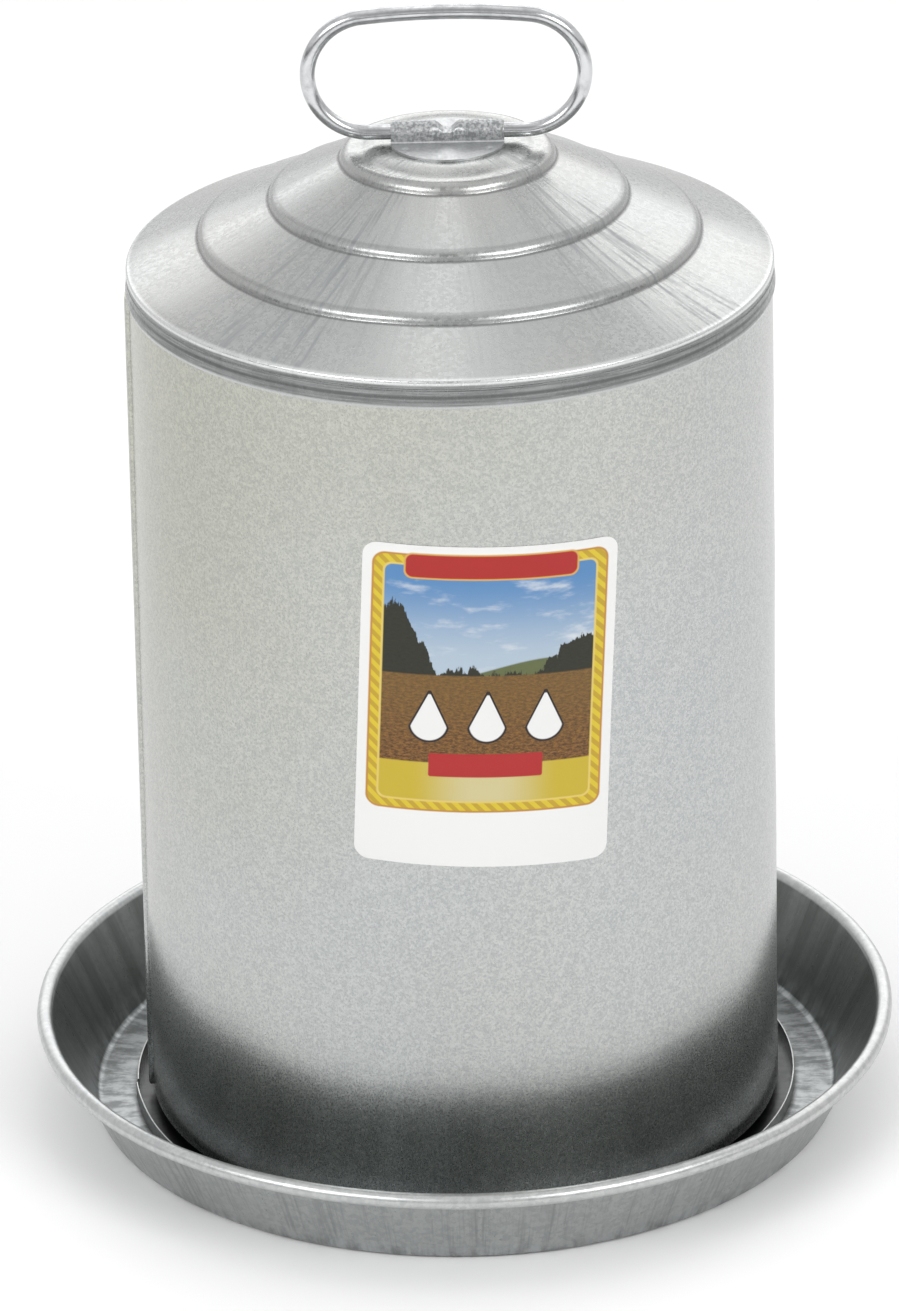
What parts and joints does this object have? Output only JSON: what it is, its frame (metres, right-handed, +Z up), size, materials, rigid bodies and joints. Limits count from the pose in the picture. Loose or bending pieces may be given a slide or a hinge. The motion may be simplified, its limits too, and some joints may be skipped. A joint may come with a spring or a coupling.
{
  "type": "poultry waterer",
  "caption": "Double-walled galvanised poultry waterer: a lift-off domed cover over a filled tank that stands in a round drinking pan, with a hinged wire carrying handle.",
  "frame": {"origin": "middle of the flat underside of the drinking pan", "axes": "+Z up; -Y is the front, where the label is; the shell's lock seam is at -X"},
  "size_m": [0.3116, 0.3116, 0.4171],
  "materials": {
    "galvanised_sheet": "hot-dip galvanised, fine grey spangle",
    "bright_wire": "bright galvanised wire",
    "tin_solder": "dull soldered fillet",
    "seat_brass": "plain brass",
    "spring_steel": "stainless wire",
    "valve_rubber": "matt black rubber",
    "label_paper": "gloss-coated label"
  },
  "bodies": {
    "base": {"drinking_pan": "galvanised_sheet", "locating_ring": "galvanised_sheet", "cover_rests": "galvanised_sheet", "tank_wall": "galvanised_sheet", "tank_bottom": "galvanised_sheet", "tank_solder": "tin_solder", "valve_seat": "seat_brass", "valve_fork": "galvanised_sheet", "pivot_pin": "bright_wire", "valve_spring": "spring_steel"},
    "cover": {"outer_shell": "galvanised_sheet", "dome_top": "galvanised_sheet", "dome_solder": "tin_solder", "handle_bracket": "galvanised_sheet", "front_label": "label_paper", "valve_cam": "galvanised_sheet"},
    "handle": {"handle_ring": "bright_wire"},
    "lever": {"valve_lever": "galvanised_sheet", "valve_pad": "valve_rubber", "pad_rivet": "seat_brass"}
  },
  "joints": [
    {"name": "cover_lift", "type": "slide", "parent": "base", "child": "cover", "axis": [0, 0, 1], "range_m": [0, 0.36]},
    {"name": "handle_swing", "type": "hinge", "parent": "cover", "child": "handle", "pos_m": [0, 0, 0.37065], "axis": [1, 0, 0], "range_deg": [-95, 95]},
    {"name": "valve_rock", "type": "hinge", "parent": "base", "child": "lever", "pos_m": [0, 0.1106, 0.026], "axis": [1, 0, 0], "range_deg": [-5.7, 0]}
  ],
  "couplings": [
    {"joint": "valve_rock", "follows": "cover_lift", "rad_per_m": -0.276}
  ]
}
